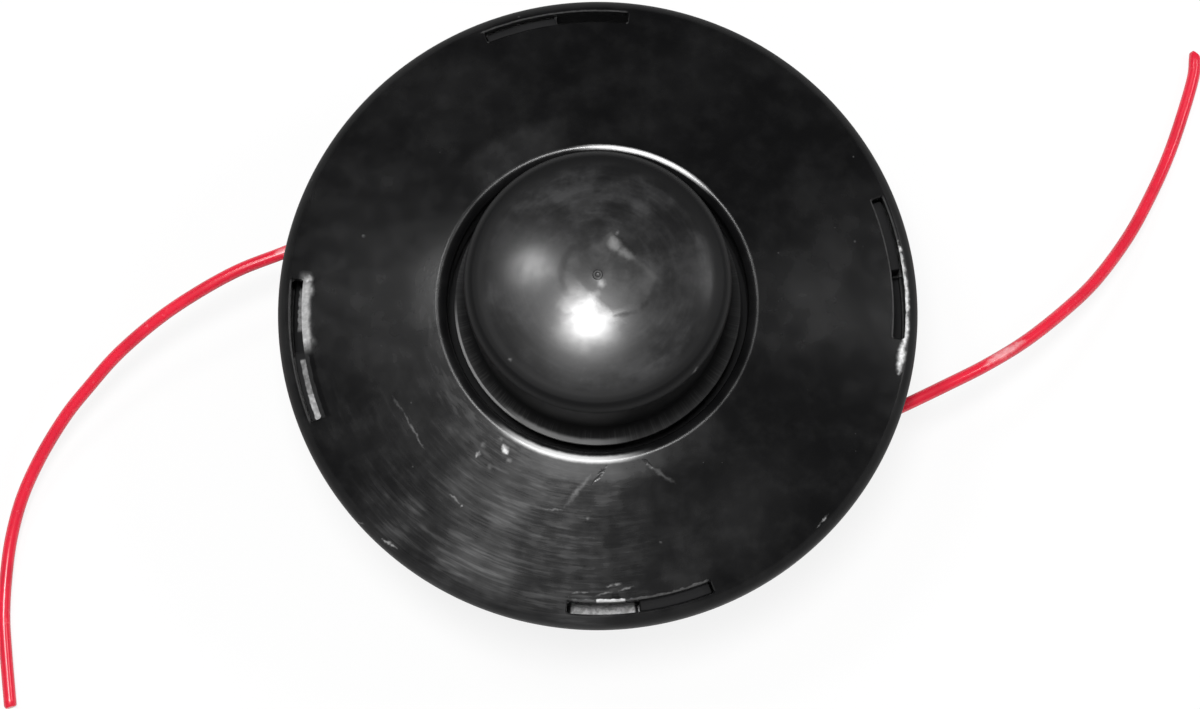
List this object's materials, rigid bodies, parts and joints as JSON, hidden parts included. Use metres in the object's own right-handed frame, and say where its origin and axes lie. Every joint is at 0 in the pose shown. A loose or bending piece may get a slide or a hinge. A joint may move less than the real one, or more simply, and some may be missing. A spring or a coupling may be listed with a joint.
{
  "type": "trimmer head",
  "caption": "Tap-and-go line head: round black cover with slots along its rim, domed bump knob on a sprung spool, drum housing with a threaded insert, and red line tails.",
  "frame": {"origin": "centre of the hub's mounting face, on the axis, which is the lowest face of the head as it lies", "axes": "+Z along the axis from the mounting face towards the bump knob; +X towards the line tail that leaves on the right"},
  "size_m": [0.256, 0.1406, 0.0797],
  "materials": {
    "cover_black": "satin black moulding with cloudy sheen, fine arc scratches and small nicks",
    "knob_black": "glossy black moulding with a mottled grey sheen and a worn spot at the gate",
    "housing_black": "black moulded nylon",
    "spool_grey": "dark grey moulded nylon",
    "steel": "plain bright steel",
    "eyelet_zinc": "zinc-plated steel",
    "line_red": "red extruded nylon line, slightly glossy"
  },
  "bodies": {
    "housing_body": {"housing": "housing_black", "arbor_insert": "steel", "eyelet_left": "eyelet_zinc", "eyelet_right": "eyelet_zinc", "spring_seat": "steel", "spring": "steel", "cover": "cover_black", "line_tail_left": "line_red", "line_tail_right": "line_red"},
    "washer_body": {"spring_washer": "steel"},
    "spool_body": {"spool": "spool_grey", "line_coil_lower": "line_red", "line_coil_upper": "line_red", "knob": "knob_black"}
  },
  "joints": [
    {"name": "bump_travel", "type": "slide", "parent": "housing_body", "child": "washer_body", "axis": [0, 0, -1], "range_m": [0, 0.005], "stiffness_N_per_m": 1500, "springref_m": -0.01, "deforming": ["spring"]},
    {"name": "spool_turn", "type": "hinge", "parent": "washer_body", "child": "spool_body", "pos_m": [0, 0, 0.0275], "axis": [0, 0, 1], "continuous": true}
  ]
}
